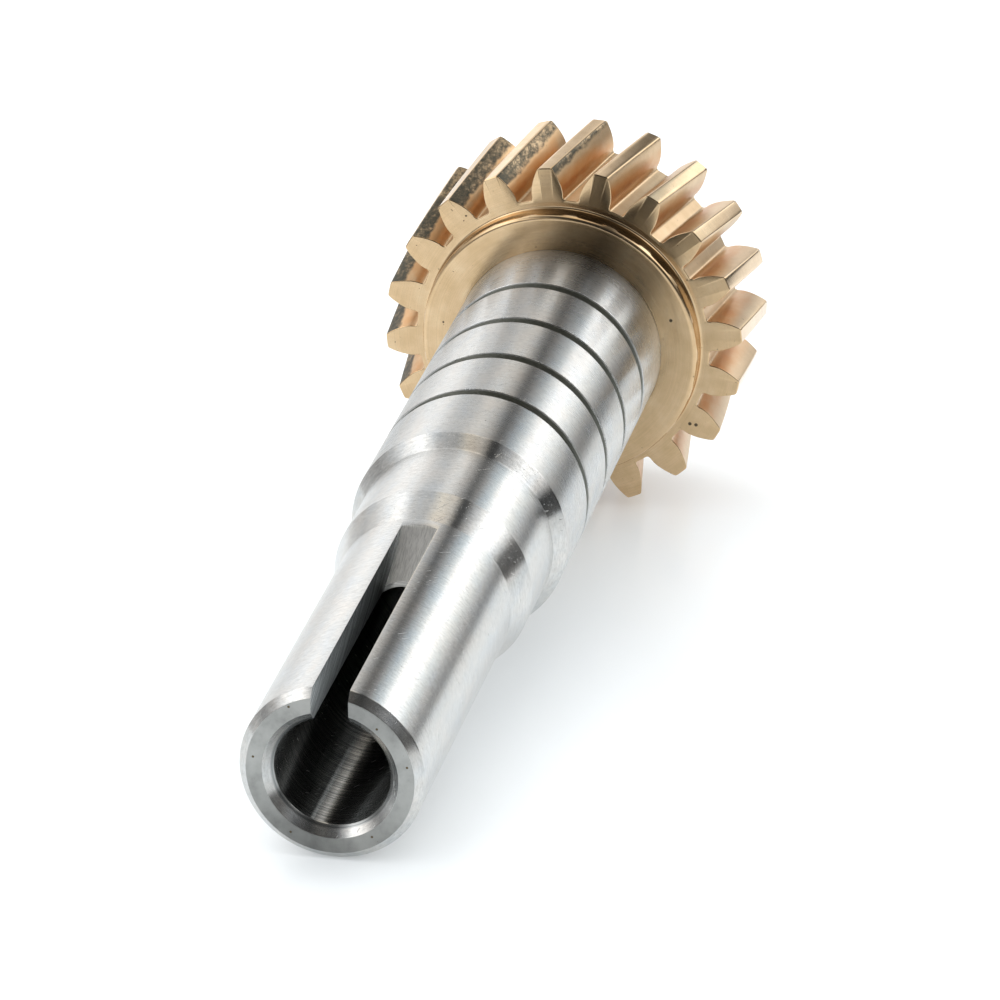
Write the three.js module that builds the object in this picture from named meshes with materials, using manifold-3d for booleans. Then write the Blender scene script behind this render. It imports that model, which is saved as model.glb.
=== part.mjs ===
// Worm gear set: a bronze helical worm wheel on a hollow, stepped steel shaft.
// Millimetres. +X runs along the shaft from the slotted nose to the wheel,
// +Z points up through the slot, and the origin is the middle of the set on the shaft axis.

import * as THREE from 'three';
import { mergeVertices } from 'three/addons/utils/BufferGeometryUtils.js';
import Module from 'manifold-3d';

const wasm = await Module();
wasm.setup();

// Shaft, measured along the axis from the nose end face
const SHAFT_LENGTH = 113.6;
const BORE_RADIUS = 5;
const BORE_CHAMFER = 0.9;
const NOSE_RADIUS = 8;
const NOSE_CHAMFER = 0.7;
const NOSE_END = 34.2;
const STEP_START = 38.1;
const STEP_RADIUS = 9;
const STEP_END = 47.2;
const JOURNAL_START = 48.7;
const JOURNAL_RADIUS = 10;
const FIRST_GROOVE = 57.8;
const GROOVE_PITCH = 8.45;
const GROOVE_COUNT = 4;
const GROOVE_WIDTH = 1.2;
const GROOVE_DEPTH = 0.7;
const SEAT_START = 94.2;
const SEAT_RADIUS = 9;
const END_CHAMFER = 0.6;
const SHAFT_SIDES = 48;

// Slot through the upper wall of the nose, cut by a disc that runs out before the first taper
const SLOT_WIDTH = 3.2;
const SLOT_FLOOR = 4;
const SLOT_END = 33;
const CUTTER_RADIUS = 25;

// Worm wheel
const TOOTH_COUNT = 20;
const MODULE = 1.6;
const PRESSURE_ANGLE = THREE.MathUtils.degToRad(20);
const PITCH_RADIUS = TOOTH_COUNT * MODULE / 2;
const TIP_RADIUS = PITCH_RADIUS + MODULE;
const ROOT_RADIUS = PITCH_RADIUS - MODULE;
const HALF_TOOTH = THREE.MathUtils.degToRad(5);
const WHEEL_FRONT = 93.8;
const WHEEL_REAR = 107.2;
const WHEEL_TWIST = THREE.MathUtils.degToRad(8.6);
const FRONT_TOOTH_PHASE = THREE.MathUtils.degToRad(11.5);
const TIP_CHAMFER = 0.35;
const BOSS_RADIUS = 13.5;
const BOSS_HEIGHT = 1.9;
const BOSS_ROUND = 0.4;
const FIT_GAP = 0.3;
const WHEEL_SIDES = 60;

// Drive key between the shaft seat and the wheel bore
const KEY_WIDTH = 4;
const KEY_HEIGHT = 4;
const KEY_LENGTH = 9;
const KEY_SEAT_DEPTH = 2.4;
const KEY_CENTRE = 102;

// Retaining ring behind the wheel
const RING_THICKNESS = 1.2;
const RING_INNER = 8.5;
const RING_OUTER = 10.9;
const RING_OPENING = THREE.MathUtils.degToRad(24);
const RING_GROOVE_RADIUS = 8.2;
const RING_FRONT = WHEEL_REAR + BOSS_HEIGHT + FIT_GAP;
const LUG_RADIUS = 1.7;
const LUG_HOLE_RADIUS = 0.7;
const LUG_CENTRE = 11;

function toSolid(geometry) {
  const bare = geometry.index ? geometry.toNonIndexed() : geometry.clone();
  for (const name of Object.keys(bare.attributes)) {
    if (name !== 'position') {
      bare.deleteAttribute(name);
    }
  }
  const merged = mergeVertices(bare, 1e-5);
  const vertProperties = new Float32Array(merged.attributes.position.array);
  const triVerts = new Uint32Array(merged.index.array);
  return new wasm.Manifold(new wasm.Mesh({ numProp: 3, vertProperties, triVerts }));
}

function toGeometry(solid) {
  const mesh = solid.getMesh();
  const geometry = new THREE.BufferGeometry();
  geometry.setAttribute('position', new THREE.BufferAttribute(mesh.vertProperties, 3));
  geometry.setIndex(new THREE.BufferAttribute(mesh.triVerts, 1));
  geometry.computeVertexNormals();
  return geometry;
}

// Turns a closed profile of [axial, radius] pairs about the shaft axis.
function turned(profile, sides) {
  const points = profile.map(([axial, radius]) => new THREE.Vector2(radius, axial));
  points.push(points[0].clone());
  const geometry = new THREE.LatheGeometry(points, sides);
  geometry.rotateZ(-Math.PI / 2);
  return geometry;
}

// Extrudes a shape drawn in a plane square to the shaft, from one axial station to another.
// Shape x points up (+Z) and shape y points to the side (-Y).
function extrudedAlongShaft(shape, start, end, steps, curveSegments) {
  const settings = { depth: end - start, steps, bevelEnabled: false, curveSegments };
  const geometry = new THREE.ExtrudeGeometry(shape, settings);
  const alongX = new THREE.Vector3(1, 0, 0);
  const side = new THREE.Vector3(0, -1, 0);
  const up = new THREE.Vector3(0, 0, 1);
  geometry.applyMatrix4(new THREE.Matrix4().makeBasis(up, side, alongX));
  geometry.translate(start, 0, 0);
  return geometry;
}

function steppedShaftProfile() {
  const profile = [
    [0, BORE_RADIUS + BORE_CHAMFER],
    [0, NOSE_RADIUS - NOSE_CHAMFER],
    [NOSE_CHAMFER, NOSE_RADIUS],
    [NOSE_END, NOSE_RADIUS],
    [STEP_START, STEP_RADIUS],
    [STEP_END, STEP_RADIUS],
    [JOURNAL_START, JOURNAL_RADIUS],
  ];
  for (let i = 0; i < GROOVE_COUNT; i += 1) {
    const centre = FIRST_GROOVE + i * GROOVE_PITCH;
    profile.push([centre - GROOVE_WIDTH / 2, JOURNAL_RADIUS]);
    profile.push([centre - GROOVE_WIDTH / 2, JOURNAL_RADIUS - GROOVE_DEPTH]);
    profile.push([centre + GROOVE_WIDTH / 2, JOURNAL_RADIUS - GROOVE_DEPTH]);
    profile.push([centre + GROOVE_WIDTH / 2, JOURNAL_RADIUS]);
  }
  const ringGrooveStart = RING_FRONT - FIT_GAP;
  const ringGrooveEnd = RING_FRONT + RING_THICKNESS + FIT_GAP;
  profile.push(
    [SEAT_START, JOURNAL_RADIUS],
    [SEAT_START, SEAT_RADIUS],
    [ringGrooveStart, SEAT_RADIUS],
    [ringGrooveStart, RING_GROOVE_RADIUS],
    [ringGrooveEnd, RING_GROOVE_RADIUS],
    [ringGrooveEnd, SEAT_RADIUS],
    [SHAFT_LENGTH - END_CHAMFER, SEAT_RADIUS],
    [SHAFT_LENGTH, SEAT_RADIUS - END_CHAMFER],
    [SHAFT_LENGTH, BORE_RADIUS + BORE_CHAMFER],
    [SHAFT_LENGTH - BORE_CHAMFER, BORE_RADIUS],
    [BORE_CHAMFER, BORE_RADIUS],
  );
  return profile;
}

// The cut left by a disc cutter that enters at the nose and stops at the slot end.
function slotCutter() {
  const topHeight = Math.sqrt(NOSE_RADIUS ** 2 - (SLOT_WIDTH / 2) ** 2);
  const discHeight = SLOT_FLOOR + CUTTER_RADIUS;
  const halfChord = Math.sqrt(CUTTER_RADIUS ** 2 - (discHeight - topHeight) ** 2);
  const discCentre = SLOT_END - halfChord;
  const outline = new THREE.Shape();
  outline.moveTo(-2, SLOT_FLOOR);
  outline.lineTo(discCentre, SLOT_FLOOR);
  const startAngle = -Math.PI / 2;
  const stopHeight = NOSE_RADIUS + 2;
  const stopAngle = -Math.asin((discHeight - stopHeight) / CUTTER_RADIUS);
  outline.absarc(discCentre, discHeight, CUTTER_RADIUS, startAngle, stopAngle, false);
  outline.lineTo(-2, stopHeight);
  outline.closePath();
  const settings = { depth: SLOT_WIDTH, bevelEnabled: false, curveSegments: 16 };
  const geometry = new THREE.ExtrudeGeometry(outline, settings);
  geometry.rotateX(Math.PI / 2);
  geometry.translate(0, SLOT_WIDTH / 2, 0);
  return geometry;
}

// Plan outline of a key with round ends, standing on the seat with its flat top outward.
function keyBlock(width, length, bottom, top) {
  const half = length / 2 - width / 2;
  const outline = new THREE.Shape();
  outline.moveTo(-half, -width / 2);
  outline.lineTo(half, -width / 2);
  outline.absarc(half, 0, width / 2, -Math.PI / 2, Math.PI / 2, false);
  outline.lineTo(-half, width / 2);
  outline.absarc(-half, 0, width / 2, Math.PI / 2, Math.PI * 1.5, false);
  const settings = { depth: top - bottom, bevelEnabled: false, curveSegments: 10 };
  const geometry = new THREE.ExtrudeGeometry(outline, settings);
  geometry.translate(KEY_CENTRE, 0, bottom);
  return geometry;
}

function hollowShaft() {
  const body = toSolid(turned(steppedShaftProfile(), SHAFT_SIDES));
  const slot = toSolid(slotCutter());
  const keySeatFloor = SEAT_RADIUS - KEY_SEAT_DEPTH;
  const width = KEY_WIDTH + 2 * FIT_GAP;
  const length = KEY_LENGTH + 2 * FIT_GAP;
  const keySeat = toSolid(keyBlock(width, length, keySeatFloor, SEAT_RADIUS + 3));
  return toGeometry(body.subtract(slot).subtract(keySeat));
}

function involute(angle) {
  return Math.tan(angle) - angle;
}

// Half of the angle that a tooth fills at a radius.
function halfToothAt(radius) {
  const baseRadius = PITCH_RADIUS * Math.cos(PRESSURE_ANGLE);
  const angle = Math.acos(Math.min(1, baseRadius / radius));
  return HALF_TOOTH + involute(PRESSURE_ANGLE) - involute(angle);
}

// Outline of the wheel square to its axis, larger than the blank at the tooth tips.
function toothedOutline() {
  const radii = [ROOT_RADIUS + 0.3, 15.4, 16.4, TIP_RADIUS + 0.2];
  const pitch = 2 * Math.PI / TOOTH_COUNT;
  const outline = new THREE.Shape();
  const points = [];
  for (let i = 0; i < TOOTH_COUNT; i += 1) {
    const centre = i * pitch;
    const flank = radii.map((radius) => [radius, halfToothAt(radius)]);
    const floorEdge = halfToothAt(radii[0]) + THREE.MathUtils.degToRad(1.1);
    points.push([ROOT_RADIUS, centre - floorEdge]);
    flank.forEach(([radius, half]) => points.push([radius, centre - half]));
    flank.reverse().forEach(([radius, half]) => points.push([radius, centre + half]));
    points.push([ROOT_RADIUS, centre + floorEdge]);
  }
  points.forEach(([radius, angle], index) => {
    const x = radius * Math.cos(angle);
    const y = radius * Math.sin(angle);
    if (index === 0) {
      outline.moveTo(x, y);
    } else {
      outline.lineTo(x, y);
    }
  });
  outline.closePath();
  return outline;
}

// The teeth run as a helix: every section is turned a little further about the axis.
function helicalTeeth() {
  const margin = BOSS_HEIGHT + 0.4;
  const start = WHEEL_FRONT - margin;
  const end = WHEEL_REAR + margin;
  const geometry = extrudedAlongShaft(toothedOutline(), start, end, 4, 1);
  const turnPerLength = WHEEL_TWIST / (WHEEL_REAR - WHEEL_FRONT);
  const position = geometry.attributes.position;
  const alongX = new THREE.Vector3(1, 0, 0);
  const point = new THREE.Vector3();
  for (let i = 0; i < position.count; i += 1) {
    point.fromBufferAttribute(position, i);
    const turn = FRONT_TOOTH_PHASE + turnPerLength * (point.x - WHEEL_FRONT);
    point.applyAxisAngle(alongX, turn);
    position.setXYZ(i, point.x, point.y, point.z);
  }
  return geometry;
}

function wheelBlankProfile() {
  const boreRadius = SEAT_RADIUS + FIT_GAP;
  const counterbore = JOURNAL_RADIUS + FIT_GAP;
  const front = WHEEL_FRONT - BOSS_HEIGHT;
  const rear = WHEEL_REAR + BOSS_HEIGHT;
  const counterboreEnd = SEAT_START + FIT_GAP;
  return [
    [front, counterbore],
    [front, BOSS_RADIUS - BOSS_ROUND],
    [front + BOSS_ROUND, BOSS_RADIUS],
    [WHEEL_FRONT, BOSS_RADIUS],
    [WHEEL_FRONT, TIP_RADIUS - TIP_CHAMFER],
    [WHEEL_FRONT + TIP_CHAMFER, TIP_RADIUS],
    [WHEEL_REAR - TIP_CHAMFER, TIP_RADIUS],
    [WHEEL_REAR, TIP_RADIUS - TIP_CHAMFER],
    [WHEEL_REAR, BOSS_RADIUS],
    [rear - BOSS_ROUND, BOSS_RADIUS],
    [rear, BOSS_RADIUS - BOSS_ROUND],
    [rear, boreRadius],
    [counterboreEnd, boreRadius],
    [counterboreEnd, counterbore],
  ];
}

function wormWheel() {
  const blank = toSolid(turned(wheelBlankProfile(), WHEEL_SIDES));
  const teeth = toSolid(helicalTeeth());
  const keySeatFloor = SEAT_RADIUS - KEY_SEAT_DEPTH;
  const keyTop = keySeatFloor + FIT_GAP + KEY_HEIGHT;
  const slotWidth = KEY_WIDTH + 2 * FIT_GAP;
  const slotStart = SEAT_START + FIT_GAP;
  const slotEnd = WHEEL_REAR + BOSS_HEIGHT + 1;
  const slotTop = keyTop + FIT_GAP;
  const keyway = new THREE.BoxGeometry(slotEnd - slotStart, slotWidth, slotTop - keySeatFloor);
  keyway.translate((slotStart + slotEnd) / 2, 0, (slotTop + keySeatFloor) / 2);
  return toGeometry(blank.intersect(teeth).subtract(toSolid(keyway)));
}

function driveKey() {
  const bottom = SEAT_RADIUS - KEY_SEAT_DEPTH + FIT_GAP;
  return toGeometry(toSolid(keyBlock(KEY_WIDTH, KEY_LENGTH, bottom, bottom + KEY_HEIGHT)));
}

// An open spring ring with a lug and a plier hole at each side of its opening, which faces down.
function retainingRing() {
  const start = Math.PI + RING_OPENING / 2;
  const stop = Math.PI - RING_OPENING / 2;
  const band = new THREE.Shape();
  band.absarc(0, 0, RING_OUTER, start, stop + 2 * Math.PI, false);
  band.absarc(0, 0, RING_INNER, stop + 2 * Math.PI, start, true);
  band.closePath();
  const end = RING_FRONT + RING_THICKNESS;
  let ring = toSolid(extrudedAlongShaft(band, RING_FRONT, end, 1, 40));
  for (const side of [-1, 1]) {
    const angle = Math.PI + side * (RING_OPENING / 2 + 0.17);
    const x = LUG_CENTRE * Math.cos(angle);
    const y = LUG_CENTRE * Math.sin(angle);
    const lug = new THREE.Shape();
    lug.absarc(x, y, LUG_RADIUS, 0, 2 * Math.PI, false);
    const hole = new THREE.Shape();
    hole.absarc(x, y, LUG_HOLE_RADIUS, 0, 2 * Math.PI, false);
    ring = ring.add(toSolid(extrudedAlongShaft(lug, RING_FRONT, end, 1, 12)));
    ring = ring.subtract(toSolid(extrudedAlongShaft(hole, RING_FRONT - 1, end + 1, 1, 8)));
  }
  return toGeometry(ring);
}

const turnedSteel = new THREE.MeshStandardMaterial({
  color: 0xb9bcc0,
  roughness: 0.28,
  metalness: 1,
});
const bronze = new THREE.MeshStandardMaterial({
  color: 0xc9a46b,
  roughness: 0.38,
  metalness: 1,
});
const keySteel = new THREE.MeshStandardMaterial({
  color: 0x8c8f93,
  roughness: 0.4,
  metalness: 1,
});
const springSteel = new THREE.MeshStandardMaterial({
  color: 0x3b3a3c,
  roughness: 0.45,
  metalness: 1,
});

function named(name, geometry, material) {
  const mesh = new THREE.Mesh(geometry, material);
  mesh.name = name;
  return mesh;
}

const wormGearSet = new THREE.Group();
wormGearSet.add(
  named('hollow_shaft', hollowShaft(), turnedSteel),
  named('worm_wheel', wormWheel(), bronze),
  named('drive_key', driveKey(), keySteel),
  named('retaining_ring', retainingRing(), springSteel),
);
wormGearSet.position.x = -SHAFT_LENGTH / 2;

export default wormGearSet;
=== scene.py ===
"""Worm gear set: bronze helical wheel on a hollow, stepped steel shaft, on a white table."""

import math
from types import SimpleNamespace

import bmesh
import bpy
from mathutils import Matrix, Vector


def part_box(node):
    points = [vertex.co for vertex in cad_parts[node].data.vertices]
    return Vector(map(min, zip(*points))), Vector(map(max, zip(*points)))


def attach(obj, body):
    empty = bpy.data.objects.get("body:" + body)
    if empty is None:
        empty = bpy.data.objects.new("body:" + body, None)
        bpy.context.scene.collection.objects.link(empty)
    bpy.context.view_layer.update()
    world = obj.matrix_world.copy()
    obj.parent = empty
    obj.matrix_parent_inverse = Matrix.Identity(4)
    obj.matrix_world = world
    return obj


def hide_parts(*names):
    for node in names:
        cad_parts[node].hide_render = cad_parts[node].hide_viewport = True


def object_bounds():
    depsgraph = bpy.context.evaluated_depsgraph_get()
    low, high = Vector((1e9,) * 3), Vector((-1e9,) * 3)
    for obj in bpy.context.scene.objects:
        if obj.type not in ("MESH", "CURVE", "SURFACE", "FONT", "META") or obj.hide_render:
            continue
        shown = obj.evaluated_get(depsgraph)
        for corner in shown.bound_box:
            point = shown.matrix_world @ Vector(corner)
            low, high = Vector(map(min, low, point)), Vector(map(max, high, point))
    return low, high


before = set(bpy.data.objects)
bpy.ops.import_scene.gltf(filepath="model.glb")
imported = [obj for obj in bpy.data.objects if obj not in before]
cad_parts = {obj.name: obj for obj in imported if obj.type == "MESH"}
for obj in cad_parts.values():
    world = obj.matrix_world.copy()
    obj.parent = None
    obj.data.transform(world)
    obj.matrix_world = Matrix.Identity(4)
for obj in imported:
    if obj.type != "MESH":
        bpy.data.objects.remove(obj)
LOW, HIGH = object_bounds()
LOW, HIGH = Vector(LOW), Vector(HIGH)
MM = 0.001
NOSE_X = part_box("hollow_shaft")[0][0]

# Shaft in millimetres: stations run from the nose end face, the rest are radii and sizes
LENGTH = 113.6
BORE = 5.0
BORE_CHAMFER = 0.9
NOSE = 8.0
NOSE_CHAMFER = 0.75
NOSE_END = 34.2
STEP_START = 38.1
STEP = 9.0
STEP_END = 47.2
JOURNAL_START = 48.7
JOURNAL = 10.0
SEAT_START = 94.2
SEAT = 9.0
END_CHAMFER = 0.6
SHAFT_SIDES = 288

# Journal grooves
GROOVE_PITCH = 8.45
GROOVES = [57.8 + GROOVE_PITCH * i for i in range(4)]
GROOVE_HALF = 0.6
GROOVE_LEAN = 0.08
GROOVE_FLOOR = 9.32

# Slot in the nose, sawn by a round cutter of radius CUTTER
SLOT_WIDTH = 3.2
SLOT_FLOOR = 4.0
SLOT_END = 33.0
CUTTER = 25.0
CUTTER_REACH = 3.0

# Wheel
TEETH = 20
MODULE = 1.6
PITCH = TEETH * MODULE / 2
TIP = PITCH + MODULE
ROOT = PITCH - MODULE
FRONT = 93.8
REAR = 107.2
BOSS = 13.5
BOSS_HEIGHT = 1.9
FACE_INNER = 14.1
TWIST = math.radians(8.6)
PHASE = math.radians(11.5)
HALF_TOOTH = math.radians(5.0)
PRESSURE = math.radians(20)
TIP_CHAMFER = 0.09

# Gaps: between fitted pieces, and the close one where the wheel meets the journal
FIT_GAP = 0.3
HUB_GAP = 0.006

# Key and its seat
KEY_CENTRE = 102.0
KEY_WIDTH = 4.0
KEY_HEIGHT = 4.0
KEY_LENGTH = 9.0
KEY_SEAT = 6.6

# Retaining ring and its groove
RING_INNER = 8.5
RING_OUTER = 10.9
RING_THICKNESS = 1.2
RING_GROOVE = 8.2
RING_HALF_OPENING = math.radians(12)
LUG_CENTRE = 11.0
LUG_RADIUS = 1.7
LUG_HOLE = 0.7
LUG_OFFSET = 0.17

# Edges sharper than this stay crisp
SHARP = math.radians(35)

# ---------------------------------------------------------------- mesh helpers


def rounded(points, sizes, steps=6, support=0.0):
    """Closed polyline with small curves for corners; support adds a point beside each curve."""
    out = []
    n = len(points)
    for i in range(n):
        c, size = Vector(points[i]), sizes[i]
        if size <= 0:
            out.append(tuple(c))
            continue
        a = Vector(points[i - 1]) - c
        b = Vector(points[(i + 1) % n]) - c
        p = c + a.normalized() * min(size, 0.45 * a.length)
        q = c + b.normalized() * min(size, 0.45 * b.length)
        if support and a.length > 4 * support:
            out.append(tuple(p + a.normalized() * support))
        for k in range(steps + 1):
            t = k / steps
            out.append(tuple(p * (1 - t) ** 2 + c * 2 * t * (1 - t) + q * t**2))
        if support and b.length > 4 * support:
            out.append(tuple(q + b.normalized() * support))
    return out


def polar(x, r, phi):
    """Point at a station, radius and angle from straight up, in metres in the row frame."""
    return (NOSE_X + x * MM, -r * math.sin(phi) * MM, r * math.cos(phi) * MM)


def solid(name, verts, faces):
    """Mesh object with its normals pointing outward."""
    mesh = bpy.data.meshes.new(name)
    mesh.from_pydata(verts, [], faces)
    obj = bpy.data.objects.new(name, mesh)
    bpy.context.collection.objects.link(obj)
    bm = bmesh.new()
    bm.from_mesh(mesh)
    bmesh.ops.recalc_face_normals(bm, faces=bm.faces)
    bm.to_mesh(mesh)
    bm.free()
    return obj


def loft(name, rings):
    """Skin through rings of equal count, with the last ring joined to the first."""
    count = len(rings[0])
    verts = [p for ring in rings for p in ring]
    faces = []
    for i in range(len(rings)):
        a, b = i * count, ((i + 1) % len(rings)) * count
        for j in range(count):
            k = (j + 1) % count
            faces.append((a + j, a + k, b + k, b + j))
    return solid(name, verts, faces)


def prism(name, outline, offset):
    """Closed solid between an outline of points and the same outline moved by offset."""
    n = len(outline)
    verts = [Vector(p) for p in outline] + [Vector(p) + Vector(offset) for p in outline]
    faces = [tuple(range(n))[::-1], tuple(range(n, 2 * n))]
    faces += [(j, (j + 1) % n, n + (j + 1) % n, n + j) for j in range(n)]
    return solid(name, verts, faces)


def turned(name, profile, sides):
    """Solid of revolution of a closed (station, radius) profile."""
    turns = [2 * math.pi * k / sides for k in range(sides)]
    return loft(name, [[polar(x, r, turn) for turn in turns] for x, r in profile])


def apply_modifiers(obj):
    """Makes the result of the modifiers the object's own mesh."""
    graph = bpy.context.evaluated_depsgraph_get()
    made = bpy.data.meshes.new_from_object(obj.evaluated_get(graph))
    obj.modifiers.clear()
    obj.data = made


def combine(obj, other, operation):
    """Cuts other from obj, or joins it on, and deletes other."""
    mod = obj.modifiers.new("combine", "BOOLEAN")
    mod.operation = operation
    mod.solver = "EXACT"
    mod.object = other
    apply_modifiers(obj)
    bpy.data.objects.remove(other)


def shade(obj):
    """Smooth turned surfaces, flat end faces, crisp machined edges."""
    for p in obj.data.polygons:
        p.use_smooth = abs(p.normal.x) < 0.9999
    obj.data.set_sharp_from_angle(angle=SHARP)


def bevelled(obj, width, segments=3):
    """Rounds the sharp edges of a small piece."""
    mod = obj.modifiers.new("edges", "BEVEL")
    mod.width = width
    mod.segments = segments
    mod.limit_method = "ANGLE"
    mod.angle_limit = math.radians(40)
    apply_modifiers(obj)
    shade(obj)


# ---------------------------------------------------------------- shaft


def shaft_profile():
    """Closed outline of half the shaft as (station, radius), each corner with its size."""
    rear = REAR + BOSS_HEIGHT
    ring_groove_end = rear + RING_THICKNESS + 2 * FIT_GAP
    corners = [
        (0, BORE + BORE_CHAMFER, 0.05),
        (0, NOSE - NOSE_CHAMFER, 0.06),
        (NOSE_CHAMFER, NOSE, 0.08),
        (NOSE_END, NOSE, 0.12),
        (STEP_START, STEP, 0.08),
        (STEP_END, STEP, 0.12),
        (JOURNAL_START, JOURNAL, 0.08),
    ]
    floor_half = GROOVE_HALF - GROOVE_LEAN
    for g in GROOVES:
        corners += [
            (g - GROOVE_HALF, JOURNAL, 0.09),
            (g - floor_half, GROOVE_FLOOR, 0.2),
            (g + floor_half, GROOVE_FLOOR, 0.2),
            (g + GROOVE_HALF, JOURNAL, 0.09),
        ]
    corners += [
        (SEAT_START, JOURNAL, 0.1),
        (SEAT_START, SEAT, 0.1),
        (rear, SEAT, 0.05),
        (rear, RING_GROOVE, 0.05),
        (ring_groove_end, RING_GROOVE, 0.05),
        (ring_groove_end, SEAT, 0.05),
        (LENGTH - END_CHAMFER, SEAT, 0.1),
        (LENGTH, SEAT - END_CHAMFER, 0.08),
        (LENGTH, BORE + BORE_CHAMFER, 0.05),
        (LENGTH - BORE_CHAMFER, BORE, 0.1),
        (BORE_CHAMFER, BORE, 0.1),
    ]
    return rounded([c[:2] for c in corners], [c[2] for c in corners], 6, 0.04)


def slot_cutter():
    """The slot's space: flat floor, and the round run-out that the cutter leaves."""
    top = math.sqrt(NOSE**2 - (SLOT_WIDTH / 2) ** 2)
    height = SLOT_FLOOR + CUTTER
    centre = SLOT_END - math.sqrt(CUTTER**2 - (height - top) ** 2)
    stop = math.acos((height - NOSE - CUTTER_REACH) / CUTTER)
    outline = [(-CUTTER_REACH, SLOT_FLOOR)]
    for k in range(41):
        a = stop * k / 40
        outline.append((centre + CUTTER * math.sin(a), height - CUTTER * math.cos(a)))
    outline.append((-CUTTER_REACH, NOSE + CUTTER_REACH))
    half = SLOT_WIDTH / 2 * MM
    pts = [(NOSE_X + x * MM, -half, z * MM) for x, z in outline]
    return prism("slot_cutter", pts, (0, 2 * half, 0))


def key_outline(width, length, z):
    """Round-ended outline of the key or its seat, at height z."""
    half = length / 2 - width / 2
    pts = []
    for side in (1, -1):
        for k in range(13):
            a = -math.pi / 2 + math.pi * k / 12
            x = KEY_CENTRE + side * (half + width / 2 * math.cos(a))
            y = side * width / 2 * math.sin(a)
            pts.append((NOSE_X + x * MM, y * MM, z * MM))
    return pts


def build_shaft():
    shaft = turned("shaft", shaft_profile(), SHAFT_SIDES)
    combine(shaft, slot_cutter(), "DIFFERENCE")
    seat = key_outline(KEY_WIDTH + 2 * FIT_GAP, KEY_LENGTH + 2 * FIT_GAP, KEY_SEAT)
    combine(shaft, prism("key_cutter", seat, (0, 0, 5 * MM)), "DIFFERENCE")
    shade(shaft)
    return shaft


# ---------------------------------------------------------------- wheel


def involute(a):
    return math.tan(a) - a


def half_tooth(r):
    """Half the angle that a tooth takes up at radius r."""
    base = PITCH * math.cos(PRESSURE)
    return HALF_TOOTH + involute(PRESSURE) - involute(math.acos(min(1, base / r)))


def tooth_outline():
    """Wheel outline square to the axis as (x, y) millimetres, x toward the first tooth."""
    step = 2 * math.pi / TEETH
    flank = [14.75, 15.04, 15.4, 15.8, 16.25, 16.7, 17.15]
    side = [(ROOT, half_tooth(ROOT + 0.2) + math.radians(0.5), 0.55)]
    side += [(r, half_tooth(r), 0.0) for r in flank]
    side += [(TIP, half_tooth(TIP), 0.25), (TIP, half_tooth(TIP) * 0.4, 0.0)]
    tooth = [(r, -h, s) for r, h, s in side] + side[::-1]
    tooth += [(ROOT, step / 2 + k * math.radians(1.0), 0.0) for k in (-0.3, 0.3)]
    pts, sizes = [], []
    for t in range(TEETH):
        for r, turn, size in tooth:
            a = t * step + turn
            pts.append((r * math.cos(a), r * math.sin(a)))
            sizes.append(size)
    return rounded(pts, sizes, 5)


def inset(outline, amount):
    """The outline moved inward by amount along its own normals."""
    n = len(outline)
    out = []
    for i in range(n):
        a, b = Vector(outline[i - 1]), Vector(outline[(i + 1) % n])
        t = (b - a).normalized()
        out.append((outline[i][0] - t.y * amount, outline[i][1] + t.x * amount))
    return out


def boss_side(face, sign):
    """Profile from the hub hole out over the boss to the tooth face."""
    top = face - sign * BOSS_HEIGHT
    hole = JOURNAL + HUB_GAP if sign > 0 else SEAT + FIT_GAP
    pts = [(top + sign * 0.6, hole), (top, hole), (top, BOSS), (face, BOSS), (face, FACE_INNER)]
    return rounded(pts + [(face + sign * 3, FACE_INNER)], [0, 0.04, 0.5, 0.42, 0, 0])[:-1]


def keyway_cutter():
    start, end = SEAT_START + FIT_GAP, REAR + BOSS_HEIGHT + 1
    half = KEY_WIDTH / 2 + FIT_GAP
    corners = [(start, -half), (end, -half), (end, half), (start, half)]
    pts = [(NOSE_X + x * MM, y * MM, KEY_SEAT * MM) for x, y in corners]
    return prism("keyway_cutter", pts, (0, 0, (KEY_HEIGHT + 2 * FIT_GAP) * MM))


def build_wheel():
    base = tooth_outline()
    angles = [math.atan2(y, x) for x, y in base]

    def twist(x):
        return PHASE + TWIST * (x - FRONT) / (REAR - FRONT)

    def circle(x, r, at):
        return [polar(x, r, a + twist(at)) for a in angles]

    def section(x, amount):
        reach = TIP - TIP_CHAMFER + min(x - FRONT, REAR - x)
        ring = []
        for px, py in inset(base, amount):
            r, a = min(math.hypot(px, py), reach), math.atan2(py, px)
            ring.append(polar(x, r, a + twist(x)))
        return ring

    # The toothed sections start and end with a small rounded edge, given as (distance in, inset)
    edge = [(0.0, 0.07), (0.01, 0.035), (0.03, 0.01), (0.06, 0.0), (TIP_CHAMFER, 0.0)]
    middle = REAR - FRONT - 2 * TIP_CHAMFER
    rings = [circle(x, r, FRONT) for x, r in boss_side(FRONT, 1)]
    rings += [section(FRONT + dx, amount) for dx, amount in edge]
    rings += [section(FRONT + TIP_CHAMFER + middle * k / 14, 0.0) for k in range(1, 14)]
    rings += [section(REAR - dx, amount) for dx, amount in edge[::-1]]
    rings += [circle(x, r, REAR) for x, r in boss_side(REAR, -1)[::-1]]
    rings.append(circle(SEAT_START + FIT_GAP, SEAT + FIT_GAP, FRONT))
    rings.append(circle(SEAT_START + FIT_GAP, JOURNAL + HUB_GAP, FRONT))
    wheel = loft("wheel", rings)
    combine(wheel, keyway_cutter(), "DIFFERENCE")
    shade(wheel)
    return wheel


# ---------------------------------------------------------------- key and ring


def build_key():
    outline = key_outline(KEY_WIDTH, KEY_LENGTH, KEY_SEAT + FIT_GAP)
    key = prism("key", outline, (0, 0, KEY_HEIGHT * MM))
    bevelled(key, 0.2 * MM)
    return key


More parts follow.
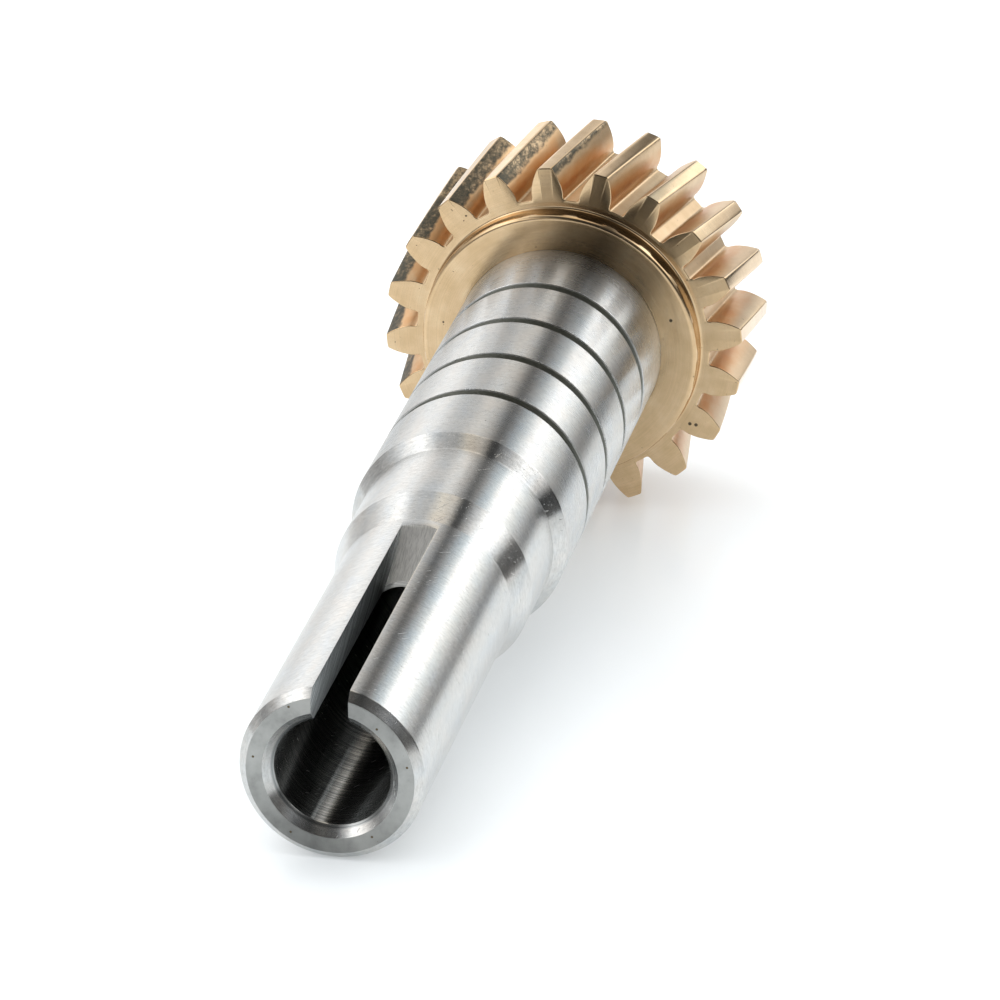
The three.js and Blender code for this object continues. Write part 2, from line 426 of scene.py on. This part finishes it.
def disc(name, centre, start, radius, sides, thickness):
    """Flat round solid square to the shaft; start is the x in metres where it begins."""
    _, cy, cz = centre
    turns = [2 * math.pi * k / sides for k in range(sides)]
    pts = [(start, cy + radius * MM * math.cos(t), cz + radius * MM * math.sin(t)) for t in turns]
    return prism(name, pts, (thickness * MM, 0, 0))


def build_ring():
    """Open ring with a holed lug on each side of the opening."""
    front = REAR + BOSS_HEIGHT + FIT_GAP
    steps = 120
    sweep = 2 * math.pi - 2 * RING_HALF_OPENING
    turns = [math.pi + RING_HALF_OPENING + sweep * k / steps for k in range(steps + 1)]
    outline = [(RING_OUTER, a) for a in turns] + [(RING_INNER, a) for a in turns[::-1]]
    pts = [Vector(polar(front, r, a)) for r, a in outline]
    ring = prism("ring", pts, (RING_THICKNESS * MM, 0, 0))
    for side in (-1, 1):
        centre = polar(front, LUG_CENTRE, math.pi + side * (RING_HALF_OPENING + LUG_OFFSET))
        lug = disc("lug", centre, centre[0], LUG_RADIUS, 40, RING_THICKNESS)
        combine(ring, lug, "UNION")
        hole = disc("hole", centre, centre[0] - MM, LUG_HOLE, 28, RING_THICKNESS + 2)
        combine(ring, hole, "DIFFERENCE")
    bevelled(ring, 0.08 * MM, 2)
    return ring


# ---------------------------------------------------------------- shader helpers


def grey(c):
    """A colour with alpha from a number or three numbers; a socket is passed through."""
    if isinstance(c, bpy.types.NodeSocket):
        return c
    if isinstance(c, (int, float)):
        return (c, c, c, 1)
    return (*c, 1) if len(c) == 3 else c


class Nodes:
    """Small helper that adds and links shader nodes in one tree."""

    def __init__(self, tree):
        self.tree = tree

    def add(self, kind, inputs=None, **props):
        node = self.tree.nodes.new(kind)
        for key, value in props.items():
            setattr(node, key, value)
        for key, value in (inputs or {}).items():
            self.put(node.inputs[key], value)
        return node

    def put(self, socket, value):
        if isinstance(value, bpy.types.NodeSocket):
            self.tree.links.new(value, socket)
        else:
            socket.default_value = value

    def math(self, op, a, b=0.0, c=0.0, clamp=False):
        node = self.add("ShaderNodeMath", {0: a, 1: b, 2: c}, operation=op, use_clamp=clamp)
        return node.outputs[0]

    def scaled(self, value, factor, offset, clamp=False):
        return self.math("MULTIPLY_ADD", value, factor, offset, clamp)

    def minus(self, a, b):
        return self.math("SUBTRACT", a, b)

    def times(self, first, *others):
        for other in others:
            first = self.math("MULTIPLY", first, other)
        return first

    def plus(self, first, *others):
        for other in others:
            first = self.math("ADD", first, other)
        return first

    def weighted(self, base, parts):
        """Base plus each part times its weight, held between 0 and 1."""
        for part, weight in parts:
            base = self.math("ADD", base, self.times(part, weight), clamp=True)
        return base

    def above(self, value, limit):
        return self.math("GREATER_THAN", value, limit)

    def below(self, value, limit):
        return self.math("LESS_THAN", value, limit)

    def between(self, value, start, end):
        return self.times(self.above(value, start), self.below(value, end))

    def noise(self, vector, scale, detail=4.0, rough=0.6):
        inputs = {"Vector": vector, "Scale": scale, "Detail": detail, "Roughness": rough}
        return self.add("ShaderNodeTexNoise", inputs).outputs["Fac"]

    def ramp(self, value, stops):
        node = self.add("ShaderNodeValToRGB", {"Fac": value})
        items = node.color_ramp.elements
        items[0].position, items[0].color = stops[0][0], grey(stops[0][1])
        items[1].position, items[1].color = stops[-1][0], grey(stops[-1][1])
        for position, colour in stops[1:-1]:
            items.new(position).color = grey(colour)
        return node.outputs["Color"]

    def mix(self, fac, a, b, blend="MIX"):
        node = self.add("ShaderNodeMix", data_type="RGBA", blend_type=blend)
        self.put(node.inputs["Factor"], fac)
        self.put(node.inputs[6], grey(a))
        self.put(node.inputs[7], grey(b))
        return node.outputs[2]

    def tinted(self, colour, value, stops):
        """The colour multiplied by a ramp of value."""
        return self.mix(1.0, colour, self.ramp(value, stops), "MULTIPLY")

    def vector(self, x, y, z):
        return self.add("ShaderNodeCombineXYZ", {0: x, 1: y, 2: z}).outputs[0]

    def vector_scale(self, vector, scale):
        inputs = {0: vector, "Scale": scale}
        return self.add("ShaderNodeVectorMath", inputs, operation="SCALE").outputs[0]

    def bump(self, height, strength, distance, normal=None):
        inputs = {"Height": height, "Strength": strength, "Distance": distance}
        if normal is not None:
            inputs["Normal"] = normal
        return self.add("ShaderNodeBump", inputs).outputs["Normal"]


def new_material(name):
    """A material, the helper for its nodes, and the inputs of its surface shader."""
    mat = bpy.data.materials.new(name)
    mat.use_nodes = True
    tree = mat.node_tree
    return mat, Nodes(tree), tree.nodes["Principled BSDF"].inputs


def axis_coordinates(n):
    """Place on the object: station x and radius r in mm, side y and up z in mm."""
    where = n.add("ShaderNodeTexCoord").outputs["Object"]
    sep = n.add("ShaderNodeSeparateXYZ", {0: where}).outputs
    x = n.times(n.minus(sep[0], NOSE_X), 1000.0)
    y = n.times(sep[1], -1000.0)
    z = n.times(sep[2], 1000.0)
    r = n.math("SQRT", n.plus(n.times(y, y), n.times(z, z)))
    return SimpleNamespace(where=where, x=x, r=r, y=y, z=z)


def dents(n, where, places, size):
    """Small round marks at (station, radius, degrees from straight up) on a surface."""
    total = 0.0
    for station, radius, degrees in places:
        inputs = {0: where, 1: polar(station, radius, math.radians(degrees))}
        gap = n.add("ShaderNodeVectorMath", inputs, operation="DISTANCE").outputs["Value"]
        total = n.plus(total, n.below(gap, size * MM))
    return n.math("MINIMUM", total, 1.0)


# ---------------------------------------------------------------- steel of the shaft


def steel_grain(n, at):
    """Turning marks, blotches, slanting scratches and specks."""
    x, y, z = at.x, at.y, at.z
    nearly_round = 0.004
    rings = n.vector(x, n.times(y, nearly_round), n.times(z, nearly_round))
    lean = n.plus(n.times(x, 0.8), n.times(y, 0.6))
    across = n.minus(n.times(y, 0.8), n.times(x, 0.6))
    scratch = n.noise(n.vector(n.times(lean, 0.4), n.times(across, 7.0), z), 1.0, 2.0, 0.5)
    speck = n.noise(n.vector(x, y, z), 4.5, 2.0, 0.5)
    nicks = [(0, 6.7, -81), (0, 6.65, -149), (0, 6.45, 146), (0, 6.8, 77), (0, 6.3, 40), (0, 7.0, -30)]
    pits = n.ramp(speck, [(0.755, 0.0), (0.775, 1.0)])
    return SimpleNamespace(
        coarse=n.noise(rings, 3.2, 3.0, 0.65),
        fine=n.noise(rings, 11.0, 2.0, 0.7),
        dashes=n.noise(n.vector(n.times(x, 3.0), y, z), 1.7, 4.0, 0.75),
        blotch=n.noise(n.vector(n.times(x, 0.4), y, z), 0.5, 4.0, 0.6),
        scratch=n.ramp(scratch, [(0.71, 0.0), (0.74, 1.0)]),
        speck=speck,
        pits=n.math("MAXIMUM", pits, dents(n, at.where, nicks, 0.11)),
    )


def steel_regions(n, at):
    """1 on each part of the shaft that has a finish of its own."""
    x, r = at.x, at.r
    ends = n.math("MAXIMUM", n.below(x, 0.02), n.above(x, LENGTH - 0.02))
    tapers = n.plus(n.between(x, NOSE_END, STEP_START), n.between(x, STEP_END, JOURNAL_START))
    slot = n.times(n.below(x, SLOT_END + 1), n.below(r, NOSE - 0.03), n.above(at.z, SLOT_FLOOR))
    off_centre = n.math("ABSOLUTE", at.y)
    half, skin = SLOT_WIDTH / 2, 0.02
    return SimpleNamespace(
        face=ends,
        inside=n.below(r, 5.3),
        taper=tapers,
        wall=n.times(slot, n.between(off_centre, half - skin, half + skin)),
        run_out=n.times(slot, n.below(off_centre, half - skin), n.above(r, 5.2)),
        groove=n.times(n.between(r, 9.1, 9.85), n.above(x, 50.0)),
    )


def slot_wall_colour_painted_shade(n, at):
    """Dull steel crossed by the arcs of the round cutter, with painted shade deep in the slot and painted
    light near its top edge.
    """
    drop = n.minus(SLOT_FLOOR + CUTTER, at.z)
    swing = n.math("SQRT", n.minus(CUTTER**2 + 1.0, n.times(drop, drop)))
    arcs = n.noise(n.vector(n.minus(at.x, swing), n.times(at.z, 0.05), 0.0), 2.6, 4.0, 0.8)
    dull = n.tinted((0.50, 0.52, 0.52), arcs, [(0.38, 0.30), (0.52, 0.9), (0.64, 2.0)])
    # Painted shade: darker deep in the slot, lighter near its top edge
    height = n.math("DIVIDE", at.z, NOSE, clamp=True)
    return n.tinted(dull, height, [(0.58, 0.40), (0.80, 0.9), (0.97, 1.3)])


def run_out_painted_highlight(n, at):
    """Steel painted near white as a painted highlight, with fine lines along the cut."""
    milled = n.noise(n.vector(n.times(at.x, 0.15), n.times(at.y, 4.0), at.z), 2.0, 3.0, 0.7)
    # Painted highlight: near-white colour on the run-out
    return n.tinted((0.96, 0.96, 0.94), milled, [(0.35, 0.76), (0.62, 1.03)])


def end_face_colour_painted_shade(n, at, grain):
    """Blotchy ground steel with painted shade toward the bottom, and brown pits."""
    painted_shade_height = n.scaled(at.z, 0.5 / NOSE, 0.5)
    ground = n.tinted((0.43, 0.435, 0.42), grain.blotch, [(0.3, 0.72), (0.5, 0.98), (0.7, 1.12)])
    # Painted shade: the end face is darker toward the bottom
    ground = n.tinted(ground, painted_shade_height, [(0.0, 0.82), (0.35, 0.95), (0.8, 1.06)])
    return n.mix(grain.pits, ground, (0.14, 0.11, 0.07))


def steel_colour(n, at, grain, region):
    tints = [(0.3, (0.56, 0.58, 0.59)), (0.5, (0.60, 0.60, 0.585)), (0.7, (0.635, 0.615, 0.585))]
    bored = [(0.35, (0.20, 0.215, 0.22)), (0.62, (0.60, 0.60, 0.58))]
    colour = n.tinted(n.ramp(grain.blotch, tints), grain.fine, [(0.3, 0.93), (0.7, 1.02)])
    colour = n.tinted(colour, grain.dashes, [(0.3, 0.82), (0.5, 1.0), (0.7, 1.12)])
    colour = n.mix(grain.pits, colour, (0.12, 0.115, 0.10))
    # The end faces carry painted shade toward the bottom
    colour = n.mix(region.face, colour, end_face_colour_painted_shade(n, at, grain))
    colour = n.mix(region.inside, colour, n.ramp(grain.coarse, bored))
    colour = n.mix(region.groove, colour, (0.34, 0.345, 0.31))
    # The slot wall carries painted shade deep down and painted light near its top
    colour = n.mix(region.wall, colour, slot_wall_colour_painted_shade(n, at))
    # The run-out carries a painted highlight
    return n.mix(region.run_out, colour, run_out_painted_highlight(n, at))


def steel_roughness(n, at, grain, region):
    parts = [
        (grain.blotch, 0.06),
        (region.taper, -0.03),
        (n.between(at.x, JOURNAL_START, FRONT), 0.07),
        (region.face, 0.24),
        (grain.scratch, 0.10),
        (region.wall, 0.32),
        (region.run_out, 0.38),
        (region.groove, 0.2),
    ]
    return n.weighted(n.scaled(grain.coarse, 0.10, 0.13), parts)


def groove_burr(n, at, speck):
    """Broken raised burr along both edges of each groove."""
    lap = n.math("MODULO", n.minus(at.x, GROOVES[0] - GROOVE_PITCH / 2), GROOVE_PITCH)
    from_groove = n.math("ABSOLUTE", n.minus(lap, GROOVE_PITCH / 2))
    edges = n.times(n.between(from_groove, 0.5, 0.75), n.between(at.x, 56.0, 86.0))
    return n.times(n.ramp(speck, [(0.56, 0.0), (0.62, 1.0)]), edges)


def steel_relief(n, at, grain, region):
    """Turning marks, deeper in the bore, then pits, scratches, sparkle on the tapers and burrs."""
    outside = n.minus(1.0, region.inside)
    height = n.plus(n.times(grain.coarse, 0.6), n.times(grain.fine, 0.4, outside))
    normal = n.bump(n.times(height, n.scaled(region.inside, 2.0, 1.0)), 0.16, 0.00002)
    normal = n.bump(n.times(grain.dashes, outside), 0.25, 0.00002, normal)
    sparkle = n.ramp(n.noise(n.vector(at.x, at.y, at.z), 5.5, 2.0, 0.5), [(0.69, 0.0), (0.74, 1.0)])
    marks = n.plus(grain.pits, n.times(grain.scratch, 0.6), n.times(sparkle, region.taper))
    marks = n.plus(marks, groove_burr(n, at, grain.speck))
    return n.bump(n.times(marks, outside), 0.3, -0.00004, normal)


def turned_steel():
    mat, n, surface = new_material("turned_steel")
    at = axis_coordinates(n)
    grain = steel_grain(n, at)
    region = steel_regions(n, at)
    surface["Metallic"].default_value = 1.0
    surface["Anisotropic"].default_value = 0.95
    surface["Anisotropic Rotation"].default_value = 0.25
    round_axis = n.add("ShaderNodeTangent", direction_type="RADIAL", axis="X")
    n.put(surface["Tangent"], round_axis.outputs[0])
    n.put(surface["Base Color"], steel_colour(n, at, grain, region))
    n.put(surface["Roughness"], steel_roughness(n, at, grain, region))
    n.put(surface["Normal"], steel_relief(n, at, grain, region))
    return mat


# ---------------------------------------------------------------- bronze of the wheel


def dark_skin(n, at, cloud):
    """Mottled skin on the upper flanks, deep on the left side and thinning toward the top."""
    start = n.scaled(n.scaled(at.y, 0.1, 0.6, clamp=True), 1.35, 16.15)
    broken = n.times(n.minus(cloud, 0.5), 1.2)
    above = n.math("MULTIPLY", n.minus(n.plus(at.r, broken), start), 4.0, clamp=True)
    flank = n.times(n.below(at.r, 17.56), n.between(at.x, FRONT + 0.05, REAR - 0.05))
    flank = n.times(flank, n.below(at.y, 8.0))
    patch = n.noise(n.vector(n.times(at.x, 0.6), at.y, at.z), 2.6, 6.0, 0.85)
    toward_rear = n.times(n.minus(at.x, FRONT), 0.012)
    patch = n.plus(patch, toward_rear, n.times(n.minus(cloud, 0.5), 0.5))
    mottle = n.ramp(patch, [(0.46, 1.0), (0.58, 0.85), (0.68, 0.4), (0.76, 0.15)])
    return n.times(above, flank, mottle)


def painted_flank_reflection(n, at):
    """Painted reflection: streaks of deeper orange low on the flanks, where the flanks mirror each other.
    """
    low = n.times(n.between(at.x, FRONT + 0.05, REAR - 0.05), n.above(at.r, 14.6))
    share = n.math("DIVIDE", at.r, TIP)
    fade = n.ramp(share, [(0.83, 0.5), (0.87, 1.0), (0.92, 0.85), (0.96, 0.0)])
    streaky = n.noise(n.vector(n.times(at.x, 0.5), at.y, at.z), 0.8, 3.0, 0.5)
    return n.times(low, fade, n.ramp(streaky, [(0.35, 0.35), (0.6, 1.0)]))


def bronze_pits(n, at):
    """Fine pits, and the nicks seen on the front boss and on two tooth ends."""
    speck = n.noise(n.vector(at.x, at.y, at.z), 3.2, 2.0, 0.5)
    boss_top = FRONT - BOSS_HEIGHT
    nicks = [(boss_top, 11.55, 71), (FRONT, 14.8, 121.5), (FRONT, 15.35, 120.5)]
    small_nicks = [(FRONT, 15.3, -39), (boss_top, 11.5, -83)]
    pits = n.ramp(speck, [(0.745, 0.0), (0.765, 1.0)])
    pits = n.math("MAXIMUM", pits, dents(n, at.where, nicks, 0.17))
    return n.math("MAXIMUM", pits, dents(n, at.where, small_nicks, 0.10))


def bronze():
    mat, n, surface = new_material("bronze")
    at = axis_coordinates(n)
    rings = n.vector(at.x, at.r, n.times(at.y, 0.02))
    coarse = n.noise(rings, 3.0, 3.0, 0.6)
    fine = n.noise(rings, 10.0, 2.0, 0.7)
    cloud = n.noise(n.vector(at.x, at.y, at.z), 0.45, 4.0, 0.6)
    pits = bronze_pits(n, at)
    skin = dark_skin(n, at, cloud)

    tints = [(0.3, (0.62, 0.44, 0.25)), (0.55, (0.69, 0.50, 0.30)), (0.75, (0.74, 0.56, 0.35))]
    colour = n.tinted(n.ramp(cloud, tints), fine, [(0.3, 0.88), (0.7, 1.0)])
    colour = n.mix(pits, colour, (0.10, 0.075, 0.05))
    # Painted reflection: deeper orange low on the flanks, where flank mirrors flank
    colour = n.mix(painted_flank_reflection(n, at), colour, (0.60, 0.335, 0.15))
    n.put(surface["Base Color"], n.mix(skin, colour, (0.085, 0.08, 0.06)))

    hobbed = n.times(n.between(at.r, ROOT - 0.05, TIP - 0.05), n.between(at.x, FRONT + 0.05, REAR - 0.05))
    rough = n.weighted(n.scaled(coarse, 0.10, 0.11), [(hobbed, 0.20), (skin, 0.15)])
    surface["Metallic"].default_value = 1.0
    n.put(surface["Roughness"], rough)

    normal = n.bump(n.plus(n.times(coarse, 0.6), n.times(fine, 0.4)), 0.15, 0.00002)
    n.put(surface["Normal"], n.bump(n.times(pits, -1.0), 0.5, 0.00008, normal))
    return mat


# ---------------------------------------------------------------- other materials


def plain_steel(name, colour, rough):
    """Small pieces: one colour with fine marks stretched sideways."""
    mat, n, surface = new_material(name)
    at = axis_coordinates(n)
    marks = n.noise(n.vector(at.x, n.times(at.y, 0.3), at.z), 4.0, 4.0, 0.7)
    surface["Metallic"].default_value = 1.0
    n.put(surface["Base Color"], n.tinted(colour, marks, [(0.3, 0.75), (0.7, 1.0)]))
    n.put(surface["Roughness"], n.scaled(marks, 0.25, rough))
    n.put(surface["Normal"], n.bump(marks, 0.25, 0.00003))
    return mat


def table_top():
    """Smooth white board that fades out into the white backdrop far from the object."""
    mat, n, surface = new_material("table_top")
    where = n.add("ShaderNodeTexCoord").outputs["Object"]
    whites = [(0.3, (0.885, 0.905, 0.915)), (0.7, (0.90, 0.92, 0.93))]
    away = n.add("ShaderNodeVectorMath", {0: where}, operation="LENGTH").outputs["Value"]
    n.put(surface["Base Color"], n.ramp(n.noise(where, 6.0, 2.0), whites))
    n.put(surface["Alpha"], n.ramp(away, [(0.3, 1.0), (0.58, 0.0)]))
    surface["Roughness"].default_value = 0.22
    surface["Specular IOR Level"].default_value = 0.3
    surface["Emission Color"].default_value = (0.96, 0.99, 1, 1)
    surface["Emission Strength"].default_value = 0.20
    return mat


# ---------------------------------------------------------------- pieces

KEY_GREY = (0.55, 0.56, 0.58)
SPRING_GREY = (0.13, 0.13, 0.14)
MADE = [
    (build_shaft(), "hollow_shaft", "turned_steel", turned_steel()),
    (build_wheel(), "worm_wheel", "bronze", bronze()),
    (build_key(), "drive_key", "key_steel", plain_steel("key_steel", KEY_GREY, 0.2)),
    (build_ring(), "retaining_ring", "spring_steel", plain_steel("spring_steel", SPRING_GREY, 0.25)),
]
for piece, node, slot_name, material in MADE:
    piece.data.materials.clear()
    piece.data.materials.append(material)
    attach(piece, "root")
    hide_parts(node)

# ---------------------------------------------------------------- table, camera, light

# Nose and teeth rest on the table, so the table's normal is tilted in the object's frame
FLOOR_NORMAL = Vector((0.1023, 0.0283, 0.9943)).normalized()
FLOOR_GAP = 0.00002
WEST, EAST, SOUTH, NORTH = -0.6, 0.19, -0.6, 0.6

# The camera stands where the photograph was taken from
CAMERA_PLACE = Vector((-0.51691, -0.11516, 0.24695))
CAMERA_FORWARD = Vector((0.885091, 0.193798, -0.42315))
CAMERA_UP = Vector((0.412048, 0.096449, 0.906043))
CAMERA_LENS = 230.1


def build_floor():
    """A wide plane that the lowest teeth and the nose rest on."""
    lowest = min(
        (o.matrix_world @ v.co).dot(FLOOR_NORMAL)
        for o, *_ in MADE[:2]
        for v in o.data.vertices
    )
    mesh = bpy.data.meshes.new("table")
    corners = [(WEST, SOUTH, 0), (EAST, SOUTH, 0), (EAST, NORTH, 0), (WEST, NORTH, 0)]
    mesh.from_pydata(corners, [], [(0, 1, 2, 3)])
    obj = bpy.data.objects.new("table", mesh)
    bpy.context.collection.objects.link(obj)
    obj.rotation_mode = "QUATERNION"
    obj.rotation_quaternion = FLOOR_NORMAL.to_track_quat("Z", "Y")
    obj.location = FLOOR_NORMAL * (lowest - FLOOR_GAP)
    mesh.materials.append(table_top())


def build_camera():
    cam = bpy.data.objects.new("camera", bpy.data.cameras.new("camera"))
    bpy.context.collection.objects.link(cam)
    cam.data.sensor_width = 36
    cam.data.lens = CAMERA_LENS
    cam.data.clip_start = 0.01
    cam.data.clip_end = 200
    forward = CAMERA_FORWARD.normalized()
    right = forward.cross(CAMERA_UP).normalized()
    up = right.cross(forward)
    turn = Matrix((right, up, -forward)).transposed().to_4x4()
    cam.matrix_world = Matrix.Translation(CAMERA_PLACE) @ turn
    bpy.context.scene.camera = cam


# Studio brightness by angle round the shaft axis, from straight up toward the viewer's right.
# The first list began as brightness read off the photographed shaft and was then changed;
# the other two were set against the same reflections.
# A plain number is white light, three numbers are tinted light.
AHEAD = [
    (-180, 0.9), (-139, 1.75), (-107, 1.1), (-90, 1.2), (-72, 1.65), (-58, 1.5), (-42, 1.02),
    (-26, 0.78), (-12, 1.3), (-5, 1.15), (3, 0.5), (14, 0.18), (22, 0.42),
    (30, (0.68, 0.76, 0.82)), (38, (1.0, 1.12, 1.18)), (46, 2.1), (62, 2.0), (71, (1.36, 1.43, 1.41)),
    (82, 1.15), (90, 0.72), (97, 0.10), (106, 0.02), (120, 0.10), (137, 0.62), (180, 0.82),
]

# The same for directions square to the shaft
BESIDE = [
    (-180, 0.75), (-129, 0.75), (-111, 1.05), (-95, 0.7), (-78, 0.45), (-66, 0.75), (-54, 1.4),
    (-40, 2.0), (-28, 0.9), (-13, 0.7), (-4, (1.2, 1.1, 0.95)), (8, (1.0, 0.93, 0.84)),
    (15, 0.1), (20, 0.08), (28, 0.7), (35, 1.3), (46, 2.6), (60, 1.8), (66, 1.1), (74, 0.06),
    (88, 0.08), (102, 0.7), (128, 0.75), (150, 0.6), (180, 0.8),
]

# The same for directions on the nose side
BEHIND = [
    (-180, 0.4), (-150, 0.7), (-127, 1.1), (-107, 0.7), (-91, 0.8), (-80, 0.3), (-68, 0.7),
    (-56, 1.9), (-43, 2.2), (-34, 0.8), (-22, 0.1), (-5, 0.08), (17, 0.05), (35, 0.12),
    (50, 0.25), (64, 0.1), (82, 0.12), (93, 0.5), (106, 0.7), (130, 0.78), (150, 0.9), (180, 0.4),
]
BRIGHTEST = 3.0
DOME = (0.91, 0.935, 0.955)


def build_world():
    """Light bands for reflections, an even dome for diffuse light and a white backdrop."""
    world = bpy.data.worlds.new("studio")
    bpy.context.scene.world = world
    world.use_nodes = True
    n = Nodes(world.node_tree)
    n.tree.nodes.clear()
    way = n.add("ShaderNodeTexCoord").outputs["Generated"]
    sep = n.add("ShaderNodeSeparateXYZ", {0: way}).outputs
    angle = n.math("ARCTAN2", n.times(sep[1], -1.0), sep[2])
    turn = n.scaled(angle, 1 / (2 * math.pi), 0.5)

    def bands(stops):
        scaled = [((a + 180) / 360, [c / BRIGHTEST for c in grey(v)[:3]]) for a, v in stops]
        return n.ramp(turn, scaled)

    def past(start, width):
        """Rises from 0 to 1 as the direction's share along the shaft passes start."""
        return n.scaled(sep[0], 1 / width, -start / width, clamp=True)

    # The studio is darker straight back toward the nose
    depth = n.math("MAXIMUM", past(-0.95, 0.3), 0.3)
    light = n.mix(past(-0.25, 0.2), n.vector_scale(bands(BEHIND), depth), bands(BESIDE))
    light = n.vector_scale(n.mix(past(0.62, 0.2), light, bands(AHEAD)), BRIGHTEST)
    path = n.add("ShaderNodeLightPath").outputs
    light = n.mix(path["Is Diffuse Ray"], light, DOME)
    light = n.mix(path["Is Camera Ray"], light, 1.0)
    back = n.add("ShaderNodeBackground", {"Color": light, "Strength": 1.0})
    n.put(n.add("ShaderNodeOutputWorld").inputs["Surface"], back.outputs[0])


def softbox(name, place, side, power):
    """Square soft light aimed at the middle of the object, and not mirrored in the metal."""
    data = bpy.data.lights.new(name, "AREA")
    data.shape = "SQUARE"
    data.size = side
    data.energy = power
    obj = bpy.data.objects.new(name, data)
    bpy.context.collection.objects.link(obj)
    obj.location = place
    obj.visible_glossy = False
    obj.rotation_mode = "QUATERNION"
    obj.rotation_quaternion = (-Vector(place)).to_track_quat("-Z", "Y")


build_floor()
build_camera()
build_world()
softbox("key_light", (0.35, 0.35, 0.70), 0.5, 1.3)
softbox("top_light", (0.0, 0.0, 1.2), 1.2, 2.0)

scene = bpy.context.scene
scene.view_settings.view_transform = "Standard"
scene.view_settings.look = "None"
scene.view_settings.exposure = 0.0
scene.view_settings.gamma = 1.0
